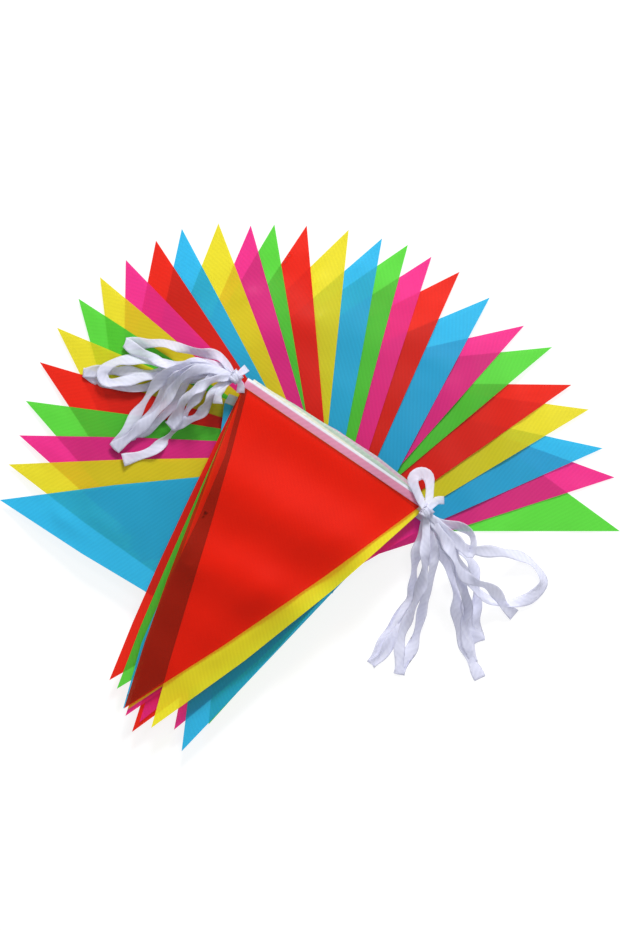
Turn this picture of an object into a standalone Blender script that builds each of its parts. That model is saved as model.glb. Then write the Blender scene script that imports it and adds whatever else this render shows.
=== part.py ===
"""Bunting of plain cloth pennants on white tape: the front flags are folded in a stack, the others spread
in a fan. The flags lie on a level surface, z = 0. +X runs to the right, +Y to the back of the fan. Metres.
"""

from collections import namedtuple
from math import atan2, ceil, cos, degrees, floor, hypot, pi, radians, sin, sqrt

import bmesh
import bpy
from mathutils import Vector
from mathutils.bvhtree import BVHTree

MM = 0.001

# The flag as it is cut, and its cloth
FLAG_WIDTH = 0.200
FLAG_LENGTH = 0.305
CLOTH = 0.001
GAP = 0.00032
SAME_POINT = 0.0002
APEX = 2 * atan2(FLAG_WIDTH / 2, FLAG_LENGTH)
SIDE = hypot(FLAG_WIDTH / 2, FLAG_LENGTH)

# The tape, folded in half over the heading of each flag
TAPE_WIDTH = 0.009

# The square net on which every sheet is draped, and how slack the cloth lies between its points
NET = 0.048
SLACK = 0.005
SETTLING_ROUNDS = 14

# The folds that cross the top of the stack: distance below the heading, height and half width, all in
# millimetres
FINE_NET = NET / 2
FOLDS = [(76, 4.0, 36), (148, 4.0, 26), (258, 3.0, 16)]
FOLDED_LAYERS = 2

Flag = namedtuple("Flag", "colour tip_x tip_y lead trail bow lead_share trail_share")
StackFlag = namedtuple("StackFlag", "colour tip left right left_high left_low right_bow heading_bow")
Strand = namedtuple("Strand", "kind arch out back")

COLOURS = {
    "red": (0.80, 0.020, 0.008),
    "yellow": (0.78, 0.66, 0.020),
    "green": (0.06, 0.58, 0.030),
    "blue": (0.02, 0.32, 0.68),
    "pink": (0.86, 0.020, 0.190),
    "white": (0.82, 0.82, 0.90),
}

# The fan from the lowest flag up. Tips are in millimetres. lead and trail are the headings, in degrees, in
# which the two edges leave the tip; bow is how far the leading edge curves out, in millimetres; the shares
# shorten an edge whose hidden corner is drawn in.
FAN = [
    Flag("green", 288, -41, 180, 144, 1, 1.00, 1.00),
    Flag("pink", 283, 9, 198, 159, 1, 1.00, 1.00),
    Flag("blue", 272, 36, 204, 168, 1, 1.00, 1.00),
    Flag("yellow", 259, 72, 211, 171, 0, 1.00, 1.00),
    Flag("red", 243, 95, 215, 180, 0, 1.00, 1.00),
    Flag("green", 225, 130, 220, 187, 0, 1.00, 1.00),
    Flag("pink", 199, 150, 228.5, 193, 0, 1.00, 1.00),
    Flag("blue", 167, 176, 242, 201, 0, 0.97, 1.00),
    Flag("red", 139, 200, 246, 205, 0, 0.98, 1.00),
    Flag("pink", 113, 214, 252, 211, 0, 0.98, 1.00),
    Flag("green", 91, 225, 255, 212, 1, 0.99, 1.00),
    Flag("blue", 67, 231, 259, 220, 2, 1.00, 1.00),
    Flag("yellow", 36, 239, 264, 222, 1, 1.00, 1.00),
    Flag("red", -3, 243, 275, 235, 0, 1.00, 1.00),
    Flag("green", -33, 244, 279.5, 237, 0, 1.00, 1.00),
    Flag("pink", -55, 243, 286, 245, 0, 1.00, 1.00),
    Flag("yellow", -85, 245, 291, 245, 0, 1.00, 0.98),
    Flag("blue", -119, 240, 298, 255.5, 0, 1.00, 0.95),
    Flag("red", -143, 229, 303.5, 254, 1, 1.00, 0.93),
    Flag("pink", -171, 211, 314, 264, 1, 1.00, 1.00),
    Flag("yellow", -195, 195, 320, 273, 1, 1.00, 1.00),
    Flag("green", -215, 175, 327, 282, 1, 1.00, 1.00),
    Flag("yellow", -235, 148, 337, 294, 1, 1.00, 1.00),
    Flag("red", -251, 116, 342.5, 302, 2, 1.00, 1.00),
    Flag("green", -264, 80, 351, 309, 3, 1.00, 1.00),
    Flag("pink", -270, 48, 357.5, 317, 3, 1.00, 0.94),
    Flag("yellow", -280, 21, 361, 322, 3, 1.00, 0.91),
    Flag("blue", -288, -12, 365.5, 326, 4, 1.00, 0.88),
]

# The folded stack from its lowest flag up: tip, left and right corner of the heading, how far the left edge
# curves out in its upper and in its lower half, and how far the right edge and the heading curve out, in
# millimetres.
STACK = [
    StackFlag("green", (-94, -220), (-64, 84), (95, -9), 0, 0, 0.5, 8.4),
    StackFlag("pink", (-126, -225), (-65, 86), (97, -12), 0, 0, 8, 8.8),
    StackFlag("blue", (-119, -245), (-79, 78), (98, -16), 0, 0, 0, 9.4),
    StackFlag("red", (-186, -179), (-63, 90), (98, -14), 1.5, 4.5, 1, 5.0),
    StackFlag("green", (-179, -187), (-62, 93), (98, -16), -3, 4.5, 1, 5.4),
    StackFlag("red", (-165, -227), (-60, 89), (100, -21), 1, 1, 4, 2.0),
    StackFlag("pink", (-158, -218), (-61, 89), (108, -36), 1, 1, -9, 2.0),
    StackFlag("pink", (-171, -212), (-62, 89), (100, -20), 2, 2, 2, 2.0),
    StackFlag("yellow", (-169, -206), (-62, 91), (100, -19), 2, 2, 2, 2.2),
    StackFlag("blue", (-173, -205), (-62, 91), (99, -18), -16, 14, 1, 2.2),
    StackFlag("yellow", (-147, -223), (-57, 92), (102, -23), -4, 1.5, 6, 2.4),
    StackFlag("red", (-172, -205), (-62, 93), (101, -18), 1, 6, 4, 0),
]

# The spare tape between the flags, drawn together at each end of the stack in loops. Each row is one strand
# in plan, in millimetres, from the knot outwards, the lowest strand first. A fold doubles back on itself at
# its far end along the second list of points, a ring comes round to the knot, and an end is cut off. arch is
# how high the strand springs up between its ends, in millimetres.
LEFT_KNOT = (-69, 101)
LEFT_STRANDS = [
    Strand("fold", 3, [(-95, 103), (-128, 98), (-155, 92), (-173, 93), (-190, 97), (-209, 106)],
           [(-190, 108), (-172, 107), (-151, 106), (-123, 106), (-89, 107)]),
    Strand("ring", 4, [(-89, 113), (-123, 113), (-140, 115), (-160, 118), (-179, 116), (-192, 107),
                       (-188, 97), (-173, 98), (-155, 101), (-137, 104), (-117, 107), (-89, 106)], []),
    Strand("fold", 5, [(-83, 120), (-100, 124), (-117, 128), (-135, 133), (-153, 133), (-171, 134)],
           [(-160, 126), (-146, 120), (-133, 113), (-117, 112), (-95, 111)]),
    Strand("fold", 3, [(-95, 106), (-110, 101), (-119, 88), (-128, 74), (-141, 61), (-155, 51), (-171, 45)],
           [(-155, 58), (-144, 72), (-135, 88), (-125, 101), (-106, 109)]),
    Strand("fold", 5, [(-100, 113), (-117, 112), (-131, 106), (-144, 92), (-155, 76), (-180, 37)],
           [(-166, 47), (-149, 62), (-135, 76), (-125, 92), (-114, 103), (-95, 109)]),
    Strand("end", 0, [(-89, 102), (-105, 83), (-117, 65), (-126, 51), (-140, 38), (-152, 31), (-173, 25)],
           []),
    Strand("fold", 5, [(-83, 94), (-91, 85), (-96, 74), (-105, 65), (-128, 57)],
           [(-121, 68), (-117, 79), (-107, 88), (-89, 99)]),
    Strand("end", 1, [(-79, 93), (-84, 86), (-85, 77)], []),
]
RIGHT_KNOT = (107, -23)
RIGHT_STRANDS = [
    Strand("end", 3, [(114, -38), (120, -57), (129, -76), (136, -98), (136, -119), (140, -139), (158, -178)],
           []),
    Strand("fold", 4, [(121, -38), (137, -57), (150, -70), (154, -88), (155, -106), (154, -122),
                       (157, -143)],
           [(148, -130), (146, -115), (144, -98), (137, -76), (126, -57), (118, -39)]),
    Strand("fold", 3, [(105, -35), (102, -49), (98, -65), (96, -84), (94, -102), (83, -118), (57, -164)],
           [(68, -156), (77, -139), (90, -119), (99, -103), (103, -87), (107, -70), (110, -51)]),
    Strand("fold", 4, [(110, -35), (113, -53), (114, -70), (111, -88), (106, -106), (97, -144), (83, -173)],
           [(83, -158), (84, -141), (91, -122), (100, -100), (106, -81), (106, -62), (107, -43)]),
    Strand("end", 5, [(124, -40), (132, -59), (137, -79), (143, -98), (147, -113), (143, -129), (152, -163)],
           []),
    Strand("ring", 4, [(118, -36), (135, -51), (150, -58), (173, -60), (194, -64), (209, -73), (217, -88),
                       (207, -101), (196, -106), (182, -108), (165, -104), (151, -92), (137, -70),
                       (124, -49)], []),
    Strand("ring", 8, [(118, -32), (137, -36), (148, -42), (151, -51), (148, -62), (140, -55), (129, -43)],
           []),
    Strand("end", 3, [(126, -51), (140, -79), (151, -87), (165, -92), (174, -100), (181, -111), (190, -119)],
           []),
]

# The tie knotted over each bunch, in the same terms
LEFT_TIE = [
    Strand("end", 2, [(-58, 110)], []),
    Strand("end", 0, [(-64, 95), (-64, 87)], []),
]
RIGHT_TIE = [
    Strand("ring", 6, [(108, -10), (111, 0), (108, 8), (101, 11), (95, 6), (94, -4)], []),
    Strand("end", 2, [(116, -13), (124, -12)], []),
]

# A strand's section, and the steps in which it is drawn
STRAND_WIDTH = 0.0085
STRAND_ROOT = 0.003
STRAND = 0.001
SECTION = ((-1, -1), (1, -1), (1, 1), (-1, 1))
STRAND_STEP = 0.0096
TIE_STEP = 0.0055
CURVE_PARTS = 8
HAIRPIN_ANGLES = (0.28 * pi, 0.5 * pi, 0.72 * pi)
FOLD_RADIUS = 0.0013
TURN_REACH = 1.5 * STRAND_WIDTH

# How a strand settles on what is below it, and the zone round the knot in which the strands run together
RASTER = 0.003
STRAND_SLACK = 0.0008
STRAND_ROUNDS = 30
STEEPEST = 0.6
ROOT_ZONE = 0.018
ROOT_SPREAD = 0.0009
ROOT_TURN = 2.4
FULL_WIDTH_FROM = 0.0216
KNOT_HALF = (0.0080, 0.0058, 0.0046)
TIE_KNOT_HALF = (0.0052, 0.0044, 0.0030)

# How finely edges are drawn, and how far along a fan flag's trailing edge its bend lies
EDGE_STEPS = 3
LEFT_STEPS = 5
HEADING_STEPS = 4
TRAIL_BEND = 0.42


def clear_scene():
    for obj in list(bpy.data.objects):
        bpy.data.objects.remove(obj)


def cloth_material(colour):
    name = "cloth_" + colour
    material = bpy.data.materials.get(name)
    if material is None:
        material = bpy.data.materials.new(name)
        material.use_nodes = True
        shader = material.node_tree.nodes["Principled BSDF"]
        shader.inputs["Base Color"].default_value = (*COLOURS[colour], 1)
        shader.inputs["Roughness"].default_value = 0.6
        shader.inputs["Metallic"].default_value = 0.0
        material.diffuse_color = (*COLOURS[colour], 1)
    return material


def towards(heading):
    return Vector((cos(radians(heading)), sin(radians(heading))))


def curved(start, bend, end, steps):
    """Points from start up to end, end left out, on the curve that leaves start towards bend."""
    points = []
    for i in range(steps):
        t = i / steps
        points.append((1 - t) ** 2 * start + 2 * t * (1 - t) * bend + t * t * end)
    return points


def bowed(start, end, out, steps):
    """Points from start up to end, end left out, curved out to the right of the way by out."""
    way = end - start
    side = Vector((way.y, -way.x)).normalized()
    return curved(start, (start + end) / 2 + 2 * out * side, end, steps)


def waved(start, end, first, second, steps):
    """As bowed, with its own reach in the first and in the second half of the way."""
    way = end - start
    side = Vector((way.y, -way.x)).normalized()
    points = []
    for i in range(steps):
        t = i / steps
        out = 4 * t * (1 - t) * ((1 - t) * first + t * second)
        points.append(start + t * way + out * side)
    return points


def fan_outline(flag):
    tip = Vector((flag.tip_x, flag.tip_y)) * MM
    lead_corner = tip + SIDE * flag.lead_share * towards(flag.lead)
    trail_corner = tip + SIDE * flag.trail_share * towards(flag.lead - degrees(APEX))
    bend = tip + TRAIL_BEND * SIDE * towards(flag.trail)
    outline = curved(tip, bend, trail_corner, EDGE_STEPS)
    outline += [trail_corner]
    outline += bowed(lead_corner, tip, flag.bow * MM, EDGE_STEPS if flag.bow > 1 else 1)
    return outline


def stack_outline(flag):
    tip, left, right = (Vector(p) * MM for p in (flag.tip, flag.left, flag.right))
    outline = bowed(tip, right, flag.right_bow * MM, EDGE_STEPS)
    outline += bowed(right, left, flag.heading_bow * MM, HEADING_STEPS)
    outline += waved(left, tip, flag.left_high * MM, flag.left_low * MM, LEFT_STEPS)
    return outline


def triangle_at(point, net):
    """The triangle of the net in which a point lies: half of a square, below or above its diagonal."""
    i, j = floor(point.x / net), floor(point.y / net)
    below = point.x / net - i >= point.y / net - j
    return (i, j, below)


def corners_of(triangle):
    i, j, below = triangle
    return [(i, j), (i + 1, j) if below else (i, j + 1), (i + 1, j + 1)]


def height_in(triangle, net, heights, point):
    """The height at a point of a triangle that is flat between its corners."""
    i, j, below = triangle
    u, v = point.x / net - i, point.y / net - j
    low, side, high = (heights[c] for c in corners_of(triangle))
    if below:
        return low + (side - low) * u + (high - side) * v
    return low + (high - side) * u + (side - low) * v


class Pile:
    """The sheets laid so far. Each is flat between the points of one shared net, cut into triangles, so two
    sheets that keep their distance at the net's points keep it everywhere."""

    def __init__(self):
        self.roof = {}
        self.sheets = []
        self.found = {}

    def drape(self, triangles):
        """Heights at the net's points for a sheet over these triangles, laid on what is there."""
        rest = {}
        for triangle in triangles:
            for corner in corners_of(triangle):
                under = self.roof.get((triangle, corner), 0.0)
                rest[corner] = max(rest.get(corner, 0), under)
        beside = [(1, 0), (-1, 0), (0, 1), (0, -1), (1, 1), (-1, -1)]
        heights = dict(rest)
        for _ in range(SETTLING_ROUNDS):
            before = dict(heights)
            for i, j in rest:
                near = [before[i + a, j + b] for a, b in beside if (i + a, j + b) in before]
                hung = sum(near) / len(near) - SLACK
                heights[i, j] = max(rest[i, j], hung)
        for triangle in triangles:
            for corner in corners_of(triangle):
                self.roof[triangle, corner] = heights[corner] + CLOTH + GAP
        return heights

    def surface(self, cell):
        """The height of the topmost sheet at a cell of the raster, or of the floor."""
        if cell not in self.found:
            above = Vector((cell[0] * RASTER, cell[1] * RASTER, 1.0))
            hits = [sheet.ray_cast(above, Vector((0, 0, -1)))[0] for sheet in self.sheets]
            self.found[cell] = max([hit.z for hit in hits if hit] + [0.0])
        return self.found[cell]


def cut_on_net(outline, net):
    """The outline as one flat face, cut along the net's lines and diagonals."""
    bm = bmesh.new()
    bm.faces.new([bm.verts.new((p.x, p.y, 0)) for p in outline])
    low_x, high_x = min(p.x for p in outline), max(p.x for p in outline)
    low_y, high_y = min(p.y for p in outline), max(p.y for p in outline)
    families = [
        (Vector((1, 0, 0)), low_x, high_x),
        (Vector((0, 1, 0)), low_y, high_y),
        (Vector((1, -1, 0)), low_x - high_y, high_x - low_y),
    ]
    for normal, low, high in families:
        for line in range(ceil(low / net), floor(high / net) + 1):
            place = normal * (line * net / normal.length_squared)
            everything = list(bm.verts) + list(bm.edges) + list(bm.faces)
            bmesh.ops.bisect_plane(bm, geom=everything, dist=SAME_POINT, plane_co=place, plane_no=normal)
    return bm


def make_object(name, colour, bm):
    mesh = bpy.data.meshes.new(name)
    bm.to_mesh(mesh)
    bm.free()
    mesh.materials.append(cloth_material(colour))
    obj = bpy.data.objects.new(name, mesh)
    bpy.context.scene.collection.objects.link(obj)
    return obj


def fold_height(corner):
    """How far the top of the stack stands up in a fold at a corner of the fine net."""
    top = STACK[-1]
    left, right = Vector(top.left), Vector(top.right)
    way = (right - left).normalized()
    down = Vector((way.y, -way.x))
    below = (Vector(corner) * (FINE_NET / MM) - left).dot(down)
    rise = 0.0
    for distance, height, half_width in FOLDS:
        away = (below - distance) / half_width
        rise += height * max(0.0, 1 - away * away) ** 2
    return rise * MM


def lay_layer(pile, pieces, folded=False):
    """Lay pieces that lie edge to edge as one sheet on the pile. A piece is its name, colour and outline."""
    cuts = [cut_on_net(outline, FINE_NET if folded else NET) for _, _, outline in pieces]
    inside = [{face: triangle_at(face.calc_center_median(), NET) for face in bm.faces} for bm in cuts]
    heights = pile.drape({triangle for faces in inside for triangle in faces.values()})
    for (name, colour, _), bm, faces in zip(pieces, cuts, inside):
        for face, triangle in faces.items():
            fine = triangle_at(face.calc_center_median(), FINE_NET)
            folds = {c: fold_height(c) if folded else 0.0 for c in corners_of(fine)}
            for vert in face.verts:
                vert.co.z = height_in(triangle, NET, heights, vert.co)
                vert.co.z += height_in(fine, FINE_NET, folds, vert.co)
        thicken(bm)
        pile.sheets.append(BVHTree.FromBMesh(bm))
        make_object(name, colour, bm)


def thicken(bm):
    """Make the sheet a closed solid, its thickness upwards."""
    bmesh.ops.recalc_face_normals(bm, faces=bm.faces)
    if sum(face.normal.z for face in bm.faces) > 0:
        bmesh.ops.reverse_faces(bm, faces=bm.faces)
    raised = bmesh.ops.extrude_face_region(bm, geom=list(bm.faces), use_keep_orig=True)
    top = [item for item in raised["geom"] if isinstance(item, bmesh.types.BMVert)]
    bmesh.ops.translate(bm, verts=top, vec=(0, 0, CLOTH))
    bmesh.ops.recalc_face_normals(bm, faces=bm.faces)


def smooth_path(points, step=STRAND_STEP):
    """Points a step apart on the smooth curve through the given ones."""
    ends = [2 * points[0] - points[1], *points, 2 * points[-1] - points[-2]]
    fine = []
    for a, b, c, d in zip(ends, ends[1:], ends[2:], ends[3:]):
        for i in range(CURVE_PARTS):
            t = i / CURVE_PARTS
            fine.append(0.5 * (2 * b + (c - a) * t + (2 * a - 5 * b + 4 * c - d) * t * t
                               + (3 * b - a - 3 * c + d) * t ** 3))
    fine.append(points[-1])
    length = sum((q - p).length for p, q in zip(fine, fine[1:]))
    count = max(2, round(length / step))
    path, walked, target = [fine[0]], 0.0, length / count
    for p, q in zip(fine, fine[1:]):
        run = (q - p).length
        while len(path) < count and walked + run >= target:
            path.append(p.lerp(q, (target - walked) / run))
            target += length / count
        walked += run
    path.append(points[-1])
    return path


class Bunch:
    """Strands of tape drawn together at a knot and lying on the pile, each above those before it. A bunch
    over another one clears all of it."""

    def __init__(self, pile, knot, knot_half, under=None):
        self.pile = pile
        self.under = under
        self.step = TIE_STEP if under else STRAND_STEP
        self.tops = dict(under.tops) if under else {}
        self.own = {}
        self.knot = Vector(knot) * MM
        self.knot_half = knot_half
        self.level = 0.0
        for cell in self.cells(self.knot, knot_half[0]):
            below = max(pile.surface(cell), self.tops.get(cell, 0.0))
            self.level = max(self.level, below + GAP + self.knot_depth(cell))
        for cell in self.cells(self.knot, knot_half[0]):
            self.tops[cell] = max(self.tops.get(cell, 0.0), self.level + self.knot_depth(cell))
        self.solids = []

    def knot_depth(self, cell):
        """How far the round of the knot reaches below and above its middle at a cell."""
        away = Vector(cell) * RASTER - self.knot
        left = 1 - (away.x / self.knot_half[0]) ** 2 - (away.y / self.knot_half[1]) ** 2
        return self.knot_half[2] * sqrt(max(0.0, left))

    def width(self, point):
        away = min(1, (point - self.knot).length / FULL_WIDTH_FROM)
        return STRAND_ROOT + (STRAND_WIDTH - STRAND_ROOT) * away

    def cells(self, point, reach):
        n = ceil(reach / RASTER)
        i, j = round(point.x / RASTER), round(point.y / RASTER)
        return [(i + a, j + b) for a in range(-n, n + 1) for b in range(-n, n + 1)
                if hypot(a, b) * RASTER <= reach + RASTER / 2]

    def bound(self, point):
        """The lowest height at which a strand clears what is under it around a point."""
        half = self.width(point) / 2
        away = (point - self.knot).length
        level = 0.0
        for cell in self.cells(point, half + STRAND_STEP / 2):
            level = max(level, self.pile.surface(cell))
        for cell in self.cells(point, half + RASTER / 2):
            level = max(level, self.own.get(cell, 0.0))
        for cell in self.cells(point, half):
            if self.under:
                level = max(level, self.under.tops.get(cell, 0.0))
            if away > ROOT_ZONE:
                level = max(level, self.tops.get(cell, 0.0))
        return level + GAP

    def settle(self, path, first, last):
        """Heights along a path whose ends are held at these heights, where they are given."""
        rest = [self.bound(p) for p in path]
        heights = list(rest)
        heights[0] = first
        if last is not None:
            heights[-1] = max(last, rest[-1])
        steep = STEEPEST * self.step
        for _ in range(STRAND_ROUNDS):
            for i in range(1, len(path)):
                before = heights[i - 1]
                if i < len(path) - 1:
                    after = heights[i + 1]
                    hung = (before + after) / 2 - STRAND_SLACK
                    heights[i] = max(rest[i], hung, before - steep, after - steep)
                elif last is None:
                    heights[i] = max(rest[i], before - steep)
        return heights

    def cover(self, path, heights, skip):
        """Note what the strand covers, leaving out what lies too near the point skip."""
        for point, height in zip(path, heights):
            if skip is not None and (point - skip).length < TURN_REACH:
                continue
            for cell in self.cells(point, self.width(point) / 2 + RASTER / 2):
                self.own[cell] = max(self.own.get(cell, 0.0), height + STRAND)

    def band(self, rings):
        """A closed solid along rings of centre, side and up."""
        bm = bmesh.new()
        loops = []
        for centre, side, up, width in rings:
            out, rise = side * (width / 2), up * (STRAND / 2)
            loops.append([bm.verts.new(centre + a * out + b * rise) for a, b in SECTION])
        for one, two in zip(loops, loops[1:]):
            for i in range(4):
                bm.faces.new((one[i], one[(i + 1) % 4], two[(i + 1) % 4], two[i]))
        bm.faces.new(reversed(loops[0]))
        bm.faces.new(loops[-1])
        bmesh.ops.recalc_face_normals(bm, faces=bm.faces)
        bmesh.ops.triangulate(bm, faces=bm.faces)
        self.solids.append(bm)

    def rings(self, path, heights, arch, turned):
        """Rings along a path; a turned path runs upside down, as the upper leg of a fold does."""
        rings = []
        sign = -1 if turned else 1
        for i, point in enumerate(path):
            way = path[min(i + 1, len(path) - 1)] - path[max(i - 1, 0)]
            side = Vector((-way.y, way.x, 0)).normalized() * sign
            rise = arch * MM * sin(pi * i / (len(path) - 1))
            centre = Vector((point.x, point.y, heights[i] + rise + STRAND / 2))
            rings.append((centre, side, Vector((0, 0, sign)), self.width(point)))
        return rings

    def lay(self, strand):
        self.own = {}
        root = self.level + ROOT_SPREAD * sin(ROOT_TURN * len(self.solids))
        points = [self.knot] + [Vector(p) * MM for p in strand.out]
        out = smooth_path(points, self.step)
        if strand.kind == "ring":
            out = smooth_path(points + [self.knot], self.step)
            far = max(range(len(out)), key=lambda i: (out[i] - self.knot).length)
            back = out[far:]
            out = out[:far + 1]
            low = self.settle(out, root - STRAND, None)
            self.cover(out, low, out[-1])
            high = self.settle(back[::-1], root + STRAND, low[-1])[::-1]
            self.cover(back, high, None)
            rings = self.rings(out + back[1:], low + high[1:], strand.arch, False)
        elif strand.kind == "fold":
            back = smooth_path([out[-1]] + [Vector(p) * MM for p in strand.back] + [self.knot])
            low = self.settle(out, root - STRAND, None)
            self.cover(out, low, None)
            high = self.settle(back[::-1], root + STRAND, low[-1] + 2 * FOLD_RADIUS)[::-1]
            high[0] = max(high[0], low[-1] + 2 * FOLD_RADIUS)
            self.cover(back, high, None)
            lower = self.rings(out, low, 0, False)
            upper = self.rings(back, high, strand.arch, True)
            rings = lower + self.hairpin(lower[-1], upper[0]) + upper
        else:
            heights = self.settle(out, root, None)
            self.cover(out, heights, None)
            rings = self.rings(out, heights, strand.arch, False)
        self.band(rings)
        for cell, top in self.own.items():
            self.tops[cell] = max(self.tops.get(cell, 0.0), top)

    def hairpin(self, lower, upper):
        """Rings that carry a strand round its fold from the lower leg into the upper."""
        middle = (lower[0] + upper[0]) / 2
        radius = (upper[0].z - lower[0].z) / 2
        ahead = Vector((lower[1].y, -lower[1].x, 0))
        rings = []
        for angle in HAIRPIN_ANGLES:
            side = lower[1].lerp(upper[1], angle / pi).normalized()
            centre = middle + ahead * radius * sin(angle) - Vector((0, 0, radius * cos(angle)))
            up = Vector((0, 0, cos(angle))) - ahead * sin(angle)
            rings.append((centre, side, up, lower[3]))
        return rings

    def finish(self, name):
        """The knot with every strand's root fused into it."""
        knot = bmesh.new()
        bmesh.ops.create_icosphere(knot, subdivisions=2, radius=1)
        for vert in knot.verts:
            vert.co = Vector(a * b for a, b in zip(vert.co, self.knot_half))
            vert.co += Vector((self.knot.x, self.knot.y, self.level))
        lump = make_object(name + "_lump", "white", knot)
        strands = [make_object(f"{name}_{i}", "white", bm) for i, bm in enumerate(self.solids)]
        for strand in strands:
            union = lump.modifiers.new("union", "BOOLEAN")
            union.operation = "UNION"
            union.solver = "EXACT"
            union.object = strand
        depsgraph = bpy.context.evaluated_depsgraph_get()
        mesh = bpy.data.meshes.new_from_object(lump.evaluated_get(depsgraph))
        keep_outer_shell(mesh)
        whole = bpy.data.objects.new(name, mesh)
        bpy.context.scene.collection.objects.link(whole)
        for obj in [lump, *strands]:
            bpy.data.objects.remove(obj)
        return whole


def keep_outer_shell(mesh):
    """Fill what is closed off inside the fused strands: only the largest connected surface stays."""
    bm = bmesh.new()
    bm.from_mesh(mesh)
    shells, left = [], set(bm.verts)
    while left:
        shell, edge = set(), [left.pop()]
        while edge:
            vert = edge.pop()
            shell.add(vert)
            near = [e.other_vert(vert) for e in vert.link_edges]
            edge += [v for v in near if v in left]
            left -= set(near)
        shells.append(shell)
    shells.sort(key=len)
    for shell in shells[:-1]:
        bmesh.ops.delete(bm, geom=list(shell), context="VERTS")
    bm.to_mesh(mesh)
    bm.free()


def heading_outline(flag):
    """The tape along the heading of a flag: the strip outside the heading's edge."""
    right, left = Vector(flag.right) * MM, Vector(flag.left) * MM
    way = (left - right).normalized()
    out = Vector((way.y, -way.x))
    inner = bowed(right, left, flag.heading_bow * MM, HEADING_STEPS) + [left]
    low = [p + out * GAP for p in inner]
    high = [p + out * (GAP + TAPE_WIDTH) for p in inner]
    return low + high[::-1]


def main():
    clear_scene()
    pile = Pile()
    for number, flag in enumerate(FAN, 1):
        lay_layer(pile, [(f"fan_{number:02d}_{flag.colour}", flag.colour, fan_outline(flag))])
    for number, flag in enumerate(STACK, 1):
        cloth = (f"stack_{number:02d}_{flag.colour}", flag.colour, stack_outline(flag))
        tape = (f"tape_{number:02d}", "white", heading_outline(flag))
        lay_layer(pile, [cloth, tape], number > len(STACK) - FOLDED_LAYERS)
    for side, knot, strands, tie in (
        ("left", LEFT_KNOT, LEFT_STRANDS, LEFT_TIE),
        ("right", RIGHT_KNOT, RIGHT_STRANDS, RIGHT_TIE),
    ):
        loops = Bunch(pile, knot, KNOT_HALF)
        for strand in strands:
            loops.lay(strand)
        loops.finish("tape_loops_" + side)
        bow = Bunch(pile, knot, TIE_KNOT_HALF, loops)
        for strand in tie:
            bow.lay(strand)
        bow.finish("tie_" + side)


main()
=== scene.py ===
import random
from functools import partial
from math import ceil, cos, floor, hypot, pi, sin, sqrt

import bmesh
import bpy
import numpy
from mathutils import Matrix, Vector
from mathutils.bvhtree import BVHTree


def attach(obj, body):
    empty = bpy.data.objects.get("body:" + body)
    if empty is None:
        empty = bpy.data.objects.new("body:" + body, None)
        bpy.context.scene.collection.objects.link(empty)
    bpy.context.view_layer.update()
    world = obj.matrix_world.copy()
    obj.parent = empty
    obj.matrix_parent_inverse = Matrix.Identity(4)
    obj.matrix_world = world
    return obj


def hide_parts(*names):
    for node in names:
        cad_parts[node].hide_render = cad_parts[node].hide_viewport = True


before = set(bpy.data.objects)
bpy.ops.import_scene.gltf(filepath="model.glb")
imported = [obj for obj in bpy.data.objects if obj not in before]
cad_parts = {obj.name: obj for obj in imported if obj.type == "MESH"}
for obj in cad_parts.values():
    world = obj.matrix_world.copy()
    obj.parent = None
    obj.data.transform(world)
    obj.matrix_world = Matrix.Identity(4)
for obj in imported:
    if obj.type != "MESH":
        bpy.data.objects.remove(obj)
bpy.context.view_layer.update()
print("frame loaded,", len(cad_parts), "nodes")

viewSettings = {
    "distance": 6.0,  # a long lens, straight from above
    "lens": 250.2,
    "sensor": 36,
    "clipEnd": 50,
    "centre": (0.0005, 0.0200, 0.012),
}


def addCamera(settings):
    data = bpy.data.cameras.new("camera")
    data.lens = settings["lens"]
    data.sensor_width = settings["sensor"]
    data.clip_end = settings["clipEnd"]
    camera = bpy.data.objects.new("camera", data)
    x, y, z = settings["centre"]
    camera.location = (x, y, z + settings["distance"])
    bpy.context.scene.collection.objects.link(camera)
    bpy.context.scene.camera = camera


studioSettings = {
    "floor": (0.28, 0.28, 0.28),
    "floorSize": 6,
    "floorRoughness": 0.9,
    "floorGloss": 0.1,
    "floorGlow": 0.80,  # the floor glows a little, so that it stays pale under the pile's shadow
    "sky": (0.98, 0.99, 1.0),
    "skyStrength": 0.40,
    "keyPlace": (0.45, 3.05, 2.35),  # from the back, so the folds of the front flag read
    "keySize": 0.90,
    "keyPower": 145.0,
    "glossPlace": (0.42, 0.36, 1.55),  # high up, for the sheen of the flags that slope towards it
    "glossSize": 0.30,
    "glossPower": 3.5,
}


def addLamp(name, place, size, power):
    data = bpy.data.lights.new(name, "AREA")
    data.shape = "SQUARE"
    data.size = size
    data.energy = power
    lamp = bpy.data.objects.new(name, data)
    lamp.location = place
    lamp.rotation_euler = (-Vector(place)).to_track_quat("-Z", "Y").to_euler()
    bpy.context.scene.collection.objects.link(lamp)


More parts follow.
